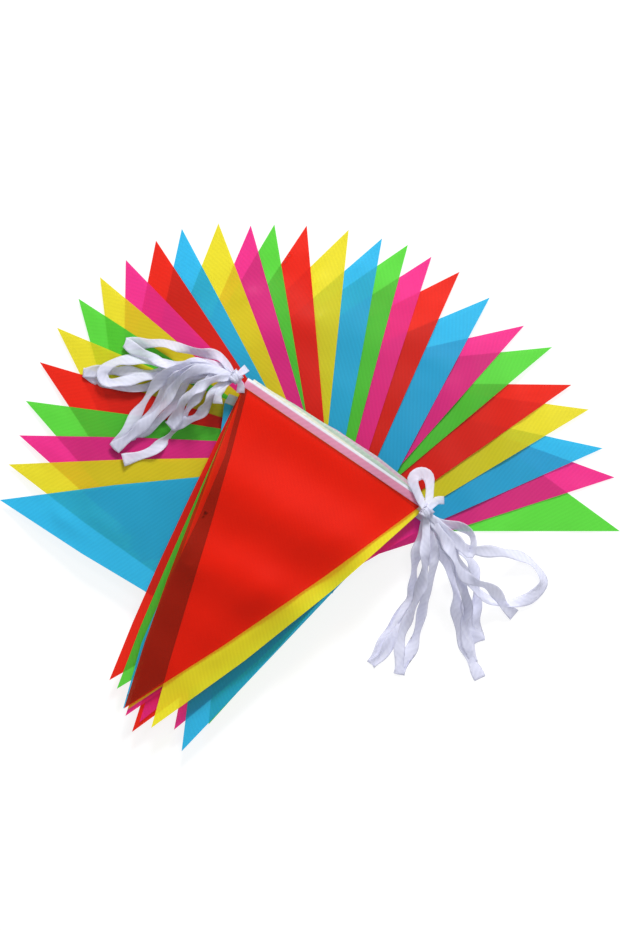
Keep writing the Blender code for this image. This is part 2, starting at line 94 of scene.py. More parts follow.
def addStudio(settings):
    bm = bmesh.new()
    bmesh.ops.create_grid(bm, x_segments=1, y_segments=1, size=settings["floorSize"])
    mesh = bpy.data.meshes.new("floor")
    bm.to_mesh(mesh)
    bm.free()
    ground = bpy.data.objects.new("floor", mesh)
    bpy.context.scene.collection.objects.link(ground)
    finish = bpy.data.materials.new("floorPaint")
    finish.use_nodes = True
    shader = finish.node_tree.nodes["Principled BSDF"]
    shader.inputs["Base Color"].default_value = (*settings["floor"], 1)
    shader.inputs["Roughness"].default_value = settings["floorRoughness"]
    shader.inputs["Specular IOR Level"].default_value = settings["floorGloss"]
    shader.inputs["Emission Color"].default_value = (1, 1, 1, 1)
    shader.inputs["Emission Strength"].default_value = settings["floorGlow"]
    mesh.materials.append(finish)
    world = bpy.data.worlds.new("studio")
    world.use_nodes = True
    sky = world.node_tree.nodes["Background"]
    sky.inputs["Color"].default_value = (*settings["sky"], 1)
    sky.inputs["Strength"].default_value = settings["skyStrength"]
    bpy.context.scene.world = world
    addLamp("keyLamp", settings["keyPlace"], settings["keySize"], settings["keyPower"])
    addLamp("glossLamp", settings["glossPlace"], settings["glossSize"], settings["glossPower"])
    bpy.context.scene.view_settings.view_transform = "Standard"


addCamera(viewSettings)
addStudio(studioSettings)
print("camera and studio done")

clothColours = {  # base is what the threads give back, tint what they let through
    "red": {"base": (0.80, 0.018, 0.006), "tint": (0.97, 0.19, 0.10)},
    "yellow": {"base": (0.78, 0.70, 0.020), "tint": (0.97, 0.93, 0.25)},
    "green": {"base": (0.110, 0.63, 0.048), "tint": (0.48, 0.97, 0.34)},
    "blue": {"base": (0.030, 0.48, 0.77), "tint": (0.26, 0.84, 0.99)},
    "pink": {"base": (0.84, 0.030, 0.290), "tint": (0.98, 0.25, 0.62)},
}

weaveSettings = {
    "thread": 0.0011,  # from one thread to the next, metres
    "streak": 0.0024,
    "cover": 0.52,  # share of light that the threads stop at each face
    "roughness": 0.42,
    "sheen": 0.25,
    "bump": 0.12,
}
finishSettings = {  # what all the finishes share
    "threadWander": 0.6,
    "streakWander": 1.2,
    "waveDetail": 2,
    "waveDetailScale": 1.5,
    "mottleScale": 16,
    "mottleDetail": 3,
    "threadShare": 0.25,
    "streakShare": 0.25,
    "shade": 0.8,
    "shadeRange": (0.2, 0.8),
    "darkest": 0.88,  # times the base colour
    "lightest": 1.06,
    "bumpDepth": 0.0003,
    "streakBump": 0.4,
    "sheenRoughness": 0.4,
    "gloss": 0.35,
    "seamBlur": 0.0004,
}
frontLook = {  # the top flag is fine enough to show the edges of those beneath
    "base": (1.0, 0.055, 0.022),
    "tint": (1.0, 0.30, 0.17),
    "cover": 0.17,
    "belowBase": (0.98, 0.88, 0.024),
    "belowTint": (1.0, 0.97, 0.26),
    "coverBelow": 0.60,
}
tapeSettings = {
    "white": (0.84, 0.86, 0.92),
    "tint": (0.96, 0.96, 1.0),
    "under": 0.32,  # how much of its flag's colour shows through a heading
    "top": (0.80, 0.30, 0.46),  # the top heading is one layer thinner up to its seam
    "seam": 0.0068,
    "loops": (0.82, 0.83, 0.98),
    "loopsTint": (0.93, 0.93, 1.0),
    "weave": {
        "thread": 0.0009,
        "streak": 0.0030,
        "cover": 0.62,
        "roughness": 0.42,
        "sheen": 0.3,
        "bump": 0.5,
    },
}


def waveAt(nodes, links, place, spacing, direction, wander):
    wave = nodes.new("ShaderNodeTexWave")
    wave.wave_type = "BANDS"
    wave.bands_direction = direction
    wave.inputs["Scale"].default_value = 2 * pi / (20 * spacing)  # at 1, the bands lie 2 pi / 20 apart
    wave.inputs["Distortion"].default_value = wander
    wave.inputs["Detail"].default_value = finishSettings["waveDetail"]
    wave.inputs["Detail Scale"].default_value = finishSettings["waveDetailScale"]
    links.new(place, wave.inputs["Vector"])
    return wave.outputs["Fac"]


def joined(nodes, links, kind, one, two):
    node = nodes.new("ShaderNodeMath")
    node.operation = kind
    links.new(one, node.inputs[0])
    if isinstance(two, float):
        node.inputs[1].default_value = two
    else:
        links.new(two, node.inputs[1])
    return node.outputs[0]


def mottleOn(nodes, links):
    everywhere = nodes.new("ShaderNodeTexCoord")
    mottle = nodes.new("ShaderNodeTexNoise")
    mottle.inputs["Scale"].default_value = finishSettings["mottleScale"]
    mottle.inputs["Detail"].default_value = finishSettings["mottleDetail"]
    links.new(everywhere.outputs["Object"], mottle.inputs["Vector"])
    return mottle.outputs["Fac"]


def beyondSeam(nodes, links, place, inner, outer):
    # a second colour beyond the seam, which lies a set way out from the inner edge
    apart = nodes.new("ShaderNodeSeparateXYZ")
    links.new(place, apart.inputs["Vector"])
    beyond = nodes.new("ShaderNodeMapRange")
    beyond.inputs["From Min"].default_value = tapeSettings["seam"] - finishSettings["seamBlur"]
    beyond.inputs["From Max"].default_value = tapeSettings["seam"] + finishSettings["seamBlur"]
    links.new(apart.outputs["X"], beyond.inputs["Value"])
    blend = nodes.new("ShaderNodeMix")
    blend.data_type = "RGBA"
    links.new(beyond.outputs["Result"], blend.inputs["Factor"])
    links.new(inner, blend.inputs["A"])
    blend.inputs["B"].default_value = (*outer, 1)
    return blend.outputs["Result"]


def clothFinish(name, base, tint, settings, outer=None):
    material = bpy.data.materials.new(name)
    material.use_nodes = True
    nodes, links = material.node_tree.nodes, material.node_tree.links
    shader, output = nodes["Principled BSDF"], nodes["Material Output"]
    onCloth = nodes.new("ShaderNodeUVMap")
    onCloth.uv_map = "cloth"
    place = onCloth.outputs["UV"]
    across = waveAt(nodes, links, place, settings["thread"], "X", finishSettings["threadWander"])
    along = waveAt(nodes, links, place, settings["thread"], "Y", finishSettings["threadWander"])
    streaks = waveAt(nodes, links, place, settings["streak"], "DIAGONAL", finishSettings["streakWander"])
    threads = joined(nodes, links, "MULTIPLY", across, along)
    uneven = joined(nodes, links, "MULTIPLY", streaks, finishSettings["streakShare"])
    uneven = joined(nodes, links, "ADD", uneven, mottleOn(nodes, links))
    shade = joined(nodes, links, "MULTIPLY", threads, finishSettings["threadShare"])
    shade = joined(nodes, links, "ADD", shade, uneven)
    shade = joined(nodes, links, "MULTIPLY", shade, finishSettings["shade"])
    colours = nodes.new("ShaderNodeValToRGB")
    dark, light = colours.color_ramp.elements
    dark.position, light.position = finishSettings["shadeRange"]
    dark.color = (*[finishSettings["darkest"] * c for c in base], 1)
    light.color = (*[min(1, finishSettings["lightest"] * c) for c in base], 1)
    links.new(shade, colours.inputs["Fac"])
    painted = colours.outputs["Color"]
    if outer:
        painted = beyondSeam(nodes, links, place, painted, outer)
    links.new(painted, shader.inputs["Base Color"])
    bump = nodes.new("ShaderNodeBump")
    bump.inputs["Strength"].default_value = settings["bump"]
    bump.inputs["Distance"].default_value = finishSettings["bumpDepth"]
    relief = joined(nodes, links, "MULTIPLY", streaks, finishSettings["streakBump"])
    links.new(joined(nodes, links, "ADD", threads, relief), bump.inputs["Height"])
    links.new(bump.outputs["Normal"], shader.inputs["Normal"])
    shader.inputs["Roughness"].default_value = settings["roughness"]
    shader.inputs["Sheen Weight"].default_value = settings["sheen"]
    shader.inputs["Sheen Roughness"].default_value = finishSettings["sheenRoughness"]
    shader.inputs["Specular IOR Level"].default_value = finishSettings["gloss"]
    clear = nodes.new("ShaderNodeBsdfTransparent")
    clear.inputs["Color"].default_value = (*tint, 1)
    cover = nodes.new("ShaderNodeMixShader")
    cover.inputs["Fac"].default_value = settings["cover"]
    links.new(clear.outputs["BSDF"], cover.inputs[1])
    links.new(shader.outputs["BSDF"], cover.inputs[2])
    links.new(cover.outputs["Shader"], output.inputs["Surface"])
    return material


finishes = {}
for colour, look in clothColours.items():
    finishes[colour] = clothFinish("cloth_" + colour, look["base"], look["tint"], weaveSettings)
topWeave = dict(weaveSettings, cover=frontLook["cover"])
finishes["top"] = clothFinish("cloth_top", frontLook["base"], frontLook["tint"], topWeave)
secondWeave = dict(weaveSettings, cover=frontLook["coverBelow"])
finishes["second"] = clothFinish("cloth_second", frontLook["belowBase"], frontLook["belowTint"], secondWeave)
tapeWeave = tapeSettings["weave"]
finishes["white"] = clothFinish("tape_white", tapeSettings["loops"], tapeSettings["loopsTint"], tapeWeave)
for colour, look in clothColours.items():
    share = tapeSettings["under"]
    mixed = [w + share * (c - w) for w, c in zip(tapeSettings["white"], look["base"])]
    finishes["tape_" + colour] = clothFinish("tape_on_" + colour, mixed, tapeSettings["tint"], tapeWeave)
finishes["tape_top"] = clothFinish("tape_on_top", tapeSettings["top"], tapeSettings["tint"], tapeWeave,
                                   outer=tapeSettings["white"])
print("finishes done")

# each sheet is laid over the ones below it on one shared grid of heights
sheetSettings = {
    "thickness": 0.00025,
    "spacing": 0.00065,
    "frontSpacing": 0.00100,
    "sunk": 0.0007,  # the solids are thicker than cloth, and their sheets lie in them this far down
    "offFloor": 0.00005,
    "edge": 0.0065,  # the longest edge of a facet
    "frontEdge": 0.0040,
    "splits": 9,
    "weld": 0.00002,
    "facingUp": 0.05,
    "sharp": 0.7,
    "margin": 2,  # cells that the heights are carried past a sheet's edge
    "smoothing": 12,
    "settling": 12,
    "flat": (0.200, 0.305),
    "area": 0.0305,
}
grid = {"step": 0.004, "lowX": -0.312, "lowY": -0.272, "countX": 157, "countY": 137}
gridX = grid["lowX"] + grid["step"] * numpy.arange(grid["countX"])[:, None]
gridY = grid["lowY"] + grid["step"] * numpy.arange(grid["countY"])[None, :]
bareFloor = sheetSettings["offFloor"] + sheetSettings["thickness"] - sheetSettings["spacing"]
roof = numpy.full((grid["countX"], grid["countY"]), bareFloor)


def topOf(name):
    bm = bmesh.new()
    bm.from_mesh(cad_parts[name].data)
    bmesh.ops.remove_doubles(bm, verts=bm.verts, dist=sheetSettings["weld"])
    bm.normal_update()
    rest = [f for f in bm.faces if f.normal.z < sheetSettings["facingUp"]]
    bmesh.ops.delete(bm, geom=rest, context="FACES")
    return bm


def refine(bm, longest):
    for again in range(sheetSettings["splits"]):
        longEdges = [e for e in bm.edges if e.calc_length() > longest]
        if not longEdges:
            break
        bmesh.ops.subdivide_edges(bm, edges=longEdges, cuts=1)
        bmesh.ops.triangulate(bm, faces=bm.faces)


def cellsBetween(low, high, start):
    return range(int((low - start) / grid["step"]), int((high - start) / grid["step"]) + 2)


def heightsOf(bm):
    tree = BVHTree.FromBMesh(bm)
    heights = numpy.zeros(roof.shape)
    known = numpy.zeros(roof.shape, dtype=bool)
    xs, ys = [v.co.x for v in bm.verts], [v.co.y for v in bm.verts]
    down = Vector((0, 0, -1))
    for i in cellsBetween(min(xs), max(xs), grid["lowX"]):
        for j in cellsBetween(min(ys), max(ys), grid["lowY"]):
            hit = tree.ray_cast(Vector((gridX[i, 0], gridY[0, j], 1)), down)[0]
            if hit:
                heights[i, j] = hit.z
                known[i, j] = True
    for again in range(sheetSettings["margin"]):
        total, count = numpy.zeros(roof.shape), numpy.zeros(roof.shape)
        for a in (-1, 0, 1):
            for b in (-1, 0, 1):
                total += numpy.roll(heights * known, (a, b), (0, 1))
                count += numpy.roll(known, (a, b), (0, 1))
        heights = numpy.where(known, heights, total / numpy.maximum(count, 1))
        known = count > 0
    return heights, known


def relaxed(heights, known, rounds):
    for again in range(rounds):
        total, weight = numpy.zeros(roof.shape), numpy.zeros(roof.shape)
        for axis in (0, 1):
            ahead, behind = numpy.roll(heights, -1, axis), numpy.roll(heights, 1, axis)
            both = known & numpy.roll(known, -1, axis) & numpy.roll(known, 1, axis)
            total += numpy.where(both, (ahead + behind) / 2, 0)
            weight += both
        moved = numpy.where(weight > 0, total / numpy.maximum(weight, 1), heights)
        heights = numpy.where(known, (heights + moved) / 2, heights)
    return heights


def heightAt(heights, x, y):
    u, v = (x - grid["lowX"]) / grid["step"], (y - grid["lowY"]) / grid["step"]
    i, j = floor(u), floor(v)
    u, v = u - i, v - j
    near = heights[i, j] * (1 - u) + heights[i + 1, j] * u
    far = heights[i, j + 1] * (1 - u) + heights[i + 1, j + 1] * u
    return near * (1 - v) + far * v


def flagAxes(bm):
    area, centre = 0, Vector((0, 0))
    for face in bm.faces:
        size = face.calc_area()
        area += size
        centre += size * face.calc_center_median().xy
    centre /= area
    tip = max((v.co.xy.copy() for v in bm.verts), key=lambda p: (p - centre).length)
    along = (centre - tip).normalized()
    return tip, along


def tapeAxes(bm, flagTip):  # origin on the inner edge, and the direction of the strip
    sizes = numpy.array([f.calc_area() for f in bm.faces])
    spots = numpy.array([f.calc_center_median().xy for f in bm.faces])
    centre = (sizes[:, None] * spots).sum(0) / sizes.sum()
    apart = spots - centre
    spread = (sizes[:, None] * apart).T @ apart
    along = Vector(numpy.linalg.eigh(spread)[1][:, 1]).normalized()
    side = Vector((along.y, -along.x))
    if (Vector(centre) - flagTip).dot(side) < 0:
        along, side = -along, -side
    inner = min(v.co.xy.dot(side) for v in bm.verts)
    return side * inner + along * Vector(centre).dot(along), along


def swell(tip, along, at, slant, half, height):
    side = Vector((along.y, -along.x))
    u = (gridX - tip.x) * side.x + (gridY - tip.y) * side.y
    v = (gridX - tip.x) * along.x + (gridY - tip.y) * along.y
    return height * numpy.exp(-(((v - at) + slant * u) / half) ** 2)


fanFolds = {
    "swells": 4,
    "first": 0.045,  # from the point of the flag
    "spacing": 0.045,
    "stray": 0.015,
    "height": (0.0008, 0.0020),
    "half": (0.010, 0.016),
    "slant": 0.5,
    "creases": 2,
    "creasePlace": (0.05, 0.19),
    "creaseHeight": (0.0004, 0.0008),
    "creaseHalf": 0.0065,
    "creaseSlant": 0.9,
    "fade": (0.10, 0.19),  # the folds die out where the pile holds the flag down
}
frontFolds = [  # from the point, slant, half width, height, in metres
    (0.304, 0.00, 0.018, 0.0034),
    (0.233, -0.20, 0.030, 0.0045),
    (0.161, -0.22, 0.022, 0.0045),
    (0.105, -0.10, 0.012, 0.0010),
    (0.056, 0.15, 0.007, 0.0012),
]


def fanRise(number, tip, along):
    chance = random.Random(number)
    rise = numpy.zeros(roof.shape)
    for k in range(fanFolds["swells"]):
        stray = chance.uniform(-fanFolds["stray"], fanFolds["stray"])
        at = fanFolds["first"] + fanFolds["spacing"] * k + stray
        half, height = chance.uniform(*fanFolds["half"]), chance.uniform(*fanFolds["height"])
        slant = chance.uniform(-fanFolds["slant"], fanFolds["slant"])
        rise += swell(tip, along, at, slant, half, height)
    for k in range(fanFolds["creases"]):
        at, height = chance.uniform(*fanFolds["creasePlace"]), chance.uniform(*fanFolds["creaseHeight"])
        slant = chance.uniform(-fanFolds["creaseSlant"], fanFolds["creaseSlant"])
        rise += swell(tip, along, at, slant, fanFolds["creaseHalf"], height)
    start, end = fanFolds["fade"]
    away = (gridX - tip.x) * along.x + (gridY - tip.y) * along.y
    return rise * numpy.clip((end - away) / (end - start), 0, 1)


def frontRise(tip, along):
    return sum(swell(tip, along, *fold) for fold in frontFolds)


def noRise(tip, along):
    return 0


def finishSheet(bm, name, tip, along, finish):
    side = Vector((along.y, -along.x))
    bmesh.ops.recalc_face_normals(bm, faces=bm.faces)
    if sum(f.normal.z for f in bm.faces) < 0:
        bmesh.ops.reverse_faces(bm, faces=bm.faces)
    lowered = bmesh.ops.extrude_face_region(bm, geom=list(bm.faces), use_keep_orig=True)
    verts = [g for g in lowered["geom"] if isinstance(g, bmesh.types.BMVert)]
    bmesh.ops.translate(bm, verts=verts, vec=(0, 0, -sheetSettings["thickness"]))
    bmesh.ops.recalc_face_normals(bm, faces=bm.faces)
    uv = bm.loops.layers.uv.new("cloth")
    for face in bm.faces:
        face.smooth = True
        for loop in face.loops:
            p = loop.vert.co.xy - tip
            loop[uv].uv = (p.dot(side), p.dot(along))
    for edge in bm.edges:
        if edge.is_manifold and edge.calc_face_angle() > sheetSettings["sharp"]:
            edge.smooth = False
    return pieceFrom(bm, name, finish)


def pieceFrom(bm, name, finish):
    mesh = bpy.data.meshes.new(name)
    bm.to_mesh(mesh)
    bm.free()
    mesh.materials.append(finish)
    piece = bpy.data.objects.new(name, mesh)
    bpy.context.scene.collection.objects.link(piece)
    return piece


def layOn(heights, known, spacing):
    lowest = roof + spacing
    for again in range(sheetSettings["settling"]):
        heights = relaxed(numpy.maximum(heights, numpy.where(known, lowest, 0)), known, 1)
    heights = numpy.maximum(heights, numpy.where(known, lowest, 0))
    roof[known] = heights[known]
    return heights


def laySheet(node, name, finish, longest, folds, spacing, tapeOf=None):
    bm = topOf(node)
    heights, known = heightsOf(bm)
    tip, along = flagAxes(bm)
    heights = relaxed(heights - sheetSettings["sunk"], known, sheetSettings["smoothing"])
    heights = layOn(heights + folds(tip, along), known, spacing)
    refine(bm, longest)
    if tapeOf:
        tip, along = tapeAxes(bm, tapeOf)
    for vert in bm.verts:
        vert.co.z = heightAt(heights, vert.co.x, vert.co.y)
    return finishSheet(bm, name, tip, along, finishes[finish])


def declareFlag(piece, node):
    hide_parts(node)
    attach(piece, "root")


nodeNames = sorted(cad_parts)
fanNodes = [n for n in nodeNames if n.startswith("fan_")]
stackNodes = [n for n in nodeNames if n.startswith("stack_")]
edge, spacing = sheetSettings["edge"], sheetSettings["spacing"]
for number, node in enumerate(fanNodes, 1):
    colour = node.split("_")[2]
    piece = laySheet(node, f"fanFlag{number:02d}", colour, edge, partial(fanRise, number), spacing)
    declareFlag(piece, node)
print("fan laid,", len(fanNodes), "flags")

fineEdge, wide = sheetSettings["frontEdge"], sheetSettings["frontSpacing"]
special = {len(stackNodes): "top", len(stackNodes) - 1: "second"}
for number, node in enumerate(stackNodes, 1):
    colour = node.split("_")[2]
    name = f"stackFlag{number:02d}"
    if number in special:
        piece = laySheet(node, name, special[number], fineEdge, frontRise, wide)
    else:
        piece = laySheet(node, name, colour, edge, noRise, spacing)
    tapeFinish = "tape_top" if number == len(stackNodes) else "tape_" + colour
    flagTip = flagAxes(topOf(node))[0]
    tapeNode = f"tape_{number:02d}"
    tape = laySheet(tapeNode, f"heading{number:02d}", tapeFinish, fineEdge, noRise, spacing, tapeOf=flagTip)
    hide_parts(tapeNode)
    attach(tape, "root")
    declareFlag(piece, node)
print("stack laid,", len(stackNodes), "flags")

# the spare tape: flat strands that spring from a knot and settle on what lies below them
strandSettings = {
    "width": 0.0100,
    "thickness": 0.0003,
    "lowest": 0.00008,
    "gap": 0.0003,
    "step": 0.0025,
    "fine": 16,  # steps between two points of a route
    "raster": 0.002,
    "slack": 0.00006,
    "rounds": 160,
    "steepest": 0.7,
    "rootWidth": 0.0035,
    "rootZone": 0.020,
    "rootSpread": 0.0012,  # the strands leave the knot at slightly different heights
    "rootTurn": 2.4,
    "rootGap": 0.001,  # half the way between a strand's two roots
    "fullWidth": 0.024,
    "turnZone": 0.014,  # a loop doesn't lie on itself where it turns back
    "foldGap": 0.0014,  # from the way out to the way back at a folded end
    "foldSteps": 8,
    "curl": 0.0005,  # how far a strand is cupped across its width
    "curlLength": 0.011,
    "crumple": 0.000245,
    "crumpleLength": 0.006,
    "crumpleLean": 3,
    "across": 6,  # facets across a strand
    "give": 0.15,  # how far a strand on its edge still lifts those above it
    "pressed": 0.5,  # share of that lift which the next strand rests on
    "roll": 1.0,
    "rollStart": 0.6,
    "twist": 1.8,
    "swing": 0.20,  # how much the width seen comes and goes
    "swingLength": 0.0048,
}
knotSettings = {
    "sit": 0.8,  # heights of the knot's middle and of its top, in half thicknesses
    "top": 0.6,
    "fill": 0.86,
    "ripple": 0.06,
    "ripples": (7, 9),
    "turns": [(-0.45, 0.30), (0.05, -0.25), (0.5, 0.15)],  # place along the knot, lean
    "heading": 0.6,
    "start": 0.4,
    "steps": 24,
    "drift": 0.12,
    "stand": 0.0003,
    "tapeWidth": 0.0040,
}

loopsLeft = {
    "knot": (-69, 101),
    "knotHalf": (0.0072, 0.0052, 0.0042),
    "seed": 5,
    "strands": [  # kind, arch in mm, way out and way back in mm, turns of its twist
        ("fold", 3, [(-95, 103), (-128, 98), (-155, 92), (-173, 93), (-190, 97), (-209, 106)],
         [(-190, 108), (-172, 107), (-151, 106), (-123, 106), (-89, 107)], 1.0),
        ("ring", 4, [(-89, 113), (-123, 113), (-140, 115), (-160, 118), (-179, 116), (-192, 107),
                     (-188, 97), (-173, 98), (-155, 101), (-137, 104), (-117, 107), (-89, 106)], [], 0.5),
        ("fold", 5, [(-83, 120), (-100, 124), (-117, 128), (-135, 133), (-153, 133), (-171, 134)],
         [(-160, 126), (-146, 120), (-133, 113), (-117, 112), (-95, 111)], 1.0),
        ("fold", 3, [(-95, 106), (-110, 101), (-119, 88), (-128, 74), (-141, 61), (-155, 51), (-171, 45)],
         [(-155, 58), (-144, 72), (-135, 88), (-125, 101), (-106, 109)], 1.0),
        ("fold", 5, [(-100, 113), (-117, 112), (-131, 106), (-144, 92), (-155, 76), (-180, 37)],
         [(-166, 47), (-149, 62), (-135, 76), (-125, 92), (-114, 103), (-95, 109)], 1.0),
        ("end", 0, [(-89, 102), (-105, 83), (-117, 65), (-126, 51), (-140, 38), (-152, 31), (-173, 25)],
         [], 1.5),
        ("fold", 5, [(-83, 94), (-91, 85), (-96, 74), (-105, 65), (-128, 57)],
         [(-121, 68), (-117, 79), (-107, 88), (-89, 99)], 1.0),
        ("end", 1, [(-79, 93), (-84, 86), (-85, 77)], [], 0.5),
    ],
}
loopsRight = {
    "knot": (107, -23),
    "knotHalf": (0.0072, 0.0052, 0.0042),
    "seed": 11,
    "strands": [
        ("end", 3, [(114, -38), (120, -57), (129, -76), (136, -98), (136, -119), (140, -139), (158, -178)],
         [], 1.0),
        ("fold", 4, [(121, -38), (137, -57), (150, -70), (154, -88), (155, -106), (154, -122), (157, -143)],
         [(148, -130), (146, -115), (144, -98), (137, -76), (126, -57), (118, -39)], 1.0),
        ("fold", 3, [(105, -35), (102, -49), (98, -65), (96, -84), (94, -102), (83, -118), (57, -164)],
         [(68, -156), (77, -139), (90, -119), (99, -103), (103, -87), (107, -70), (110, -51)], 1.0),
        ("fold", 4, [(110, -35), (113, -53), (114, -70), (111, -88), (106, -106), (97, -144), (83, -173)],
         [(83, -158), (84, -141), (91, -122), (100, -100), (106, -81), (106, -62), (107, -43)], 1.0),
        ("end", 5, [(124, -40), (132, -59), (137, -79), (143, -98), (147, -113), (143, -129), (152, -163)],
         [], 1.0),
        ("ring", 4, [(118, -36), (135, -51), (150, -58), (173, -60), (194, -64), (209, -73), (217, -88),
                     (207, -101), (196, -106), (182, -108), (165, -104), (151, -92), (137, -70),
                     (124, -49)], [], 1.0),
        ("ring", 4, [(118, -32), (137, -36), (148, -42), (151, -51), (148, -62), (140, -55), (129, -43)],
         [], 0.5),
        ("end", 3, [(126, -51), (140, -79), (151, -87), (165, -92), (174, -100), (181, -111), (190, -119)],
         [], 1.0),
    ],
}
tieLeft = {
    "knot": (-69, 101),
    "knotHalf": (0.0050, 0.0042, 0.0030),
    "seed": 21,
    "strands": [("end", 2, [(-58, 110)], [], 0), ("end", 0, [(-64, 95), (-64, 87)], [], 0)],
}
tieRight = {
    "knot": (107, -23),
    "knotHalf": (0.0050, 0.0042, 0.0030),
    "seed": 22,
    "strands": [("ring", 3, [(110, -10), (110.5, 4), (108, 11), (101, 12.5), (95, 7), (98, -3)], [], 0),
                ("end", 2, [(116, -13), (124, -12)], [], 0)],
}
rasterStep = strandSettings["raster"]
rasterLow = [grid[n] + 2 * grid["step"] for n in ("lowX", "lowY")]
rasterCount = [int((grid[n] - 5) * grid["step"] / rasterStep) for n in ("countX", "countY")]
carpet = numpy.zeros(rasterCount)  # the height of whatever lies on top, cell by cell
for i in range(rasterCount[0]):
    for j in range(rasterCount[1]):
        x, y = rasterLow[0] + i * rasterStep, rasterLow[1] + j * rasterStep
        carpet[i, j] = max(0, heightAt(roof, x, y))


def cellsNear(point, reach):
    n = ceil(reach / rasterStep)
    i = round((point.x - rasterLow[0]) / rasterStep)
    j = round((point.y - rasterLow[1]) / rasterStep)
    return [(i + a, j + b) for a in range(-n, n + 1) for b in range(-n, n + 1)
            if hypot(a, b) * rasterStep <= reach + rasterStep / 2]


def smoothPath(points, step):
    ends = [2 * points[0] - points[1], *points, 2 * points[-1] - points[-2]]
    fine = []
    for a, b, c, d in zip(ends, ends[1:], ends[2:], ends[3:]):
        for i in range(strandSettings["fine"]):
            t = i / strandSettings["fine"]
            fine.append(0.5 * (2 * b + (c - a) * t + (2 * a - 5 * b + 4 * c - d) * t * t
                               + (3 * b - a - 3 * c + d) * t ** 3))
    fine.append(points[-1])
    length = sum((q - p).length for p, q in zip(fine, fine[1:]))
    count = max(3, round(length / step))
    path, walked, target = [fine[0]], 0.0, length / count
    for p, q in zip(fine, fine[1:]):
        run = (q - p).length
        while len(path) < count and walked + run >= target:
            path.append(p.lerp(q, (target - walked) / run))
            target += length / count
        walked += run
    path.append(points[-1])
    return path


def strandWidth(point, knot):
    away = (point - knot).length
    root = strandSettings["rootWidth"]
    swing = strandSettings["swing"] * sin(away / strandSettings["swingLength"])
    full = strandSettings["width"] * (1 + swing)
    return root + (full - root) * min(1, away / strandSettings["fullWidth"])


# heights along a path that lies on the flags and on the strands before it
def settled(path, lifts, knot, first, last, tops, own):
    rest = []
    for point, lift in zip(path, lifts):
        half = strandWidth(point, knot) / 2
        near = cellsNear(point, half)
        level = max(carpet[c] for c in near)
        level = max([level] + [own.get(c, 0) for c in near])
        if (point - knot).length > strandSettings["rootZone"]:
            level = max([level] + [tops.get(c, 0) for c in near])
        rest.append(level + strandSettings["gap"] + lift)
    heights = list(rest)
    heights[0] = first
    if last is not None:
        heights[-1] = max(last, rest[-1])
    steep = strandSettings["steepest"] * strandSettings["step"]
    for again in range(strandSettings["rounds"]):
        for i in range(1, len(path)):
            before = heights[i - 1]
            if i < len(path) - 1:
                after = heights[i + 1]
                hung = (before + after) / 2 - strandSettings["slack"]
                heights[i] = max(rest[i], hung, before - steep, after - steep)
            elif last is None:
                heights[i] = max(rest[i], before - steep)
    return heights


def noteCover(path, heights, lifts, knot, own, skip):
    for point, height, lift in zip(path, heights, lifts):
        if skip is not None and (point - skip).length < strandSettings["turnZone"]:
            continue
        top = height + strandSettings["pressed"] * lift + strandSettings["thickness"]
        for cell in cellsNear(point, strandWidth(point, knot) / 2):
            own[cell] = max(own.get(cell, 0), top)


def rollsAlong(path, turns, phase, knot):
    rolls, lifts = [], []
    for i, point in enumerate(path):
        t = i / (len(path) - 1)
        roll = 0
        if turns:
            swung = sin(2 * pi * strandSettings["twist"] * turns * t + phase)
            roll = strandSettings["roll"] * sin(pi * t) * swung
        rolls.append(roll)
        lifts.append(strandSettings["give"] * abs(sin(roll)) * strandWidth(point, knot) / 2)
    return rolls, lifts


def ringsAlong(path, heights, rolls, arch, knot, upward):
    rings = []
    for i, point in enumerate(path):
        way = path[min(i + 1, len(path) - 1)] - path[max(i - 1, 0)]
        side = Vector((-way.y, way.x, 0)).normalized() * upward
        up = Vector((0, 0, upward))
        rise = arch * 0.001 * sin(pi * i / (len(path) - 1))
        roll = rolls[i]
        turnedSide = side * cos(roll) + up * sin(roll)
        turnedUp = up * cos(roll) - side * sin(roll)
        centre = Vector((point.x, point.y, heights[i] + rise))
        rings.append((centre, turnedSide, turnedUp, strandWidth(point, knot)))
    return rings


def hairpin(lower, upper):
    middle = (lower[0] + upper[0]) / 2
    radius = (upper[0].z - lower[0].z) / 2
    ahead = Vector((lower[1].y, -lower[1].x, 0)).normalized()
    rings = []
    steps = strandSettings["foldSteps"]
    for k in range(1, steps):
        angle = pi * k / steps
        side = lower[1].lerp(upper[1], k / steps).normalized()
        centre = middle + ahead * radius * sin(angle) - Vector((0, 0, radius * cos(angle)))
        up = Vector((0, 0, cos(angle))) - ahead * sin(angle)
        rings.append((centre, side, up, lower[3]))
    return rings


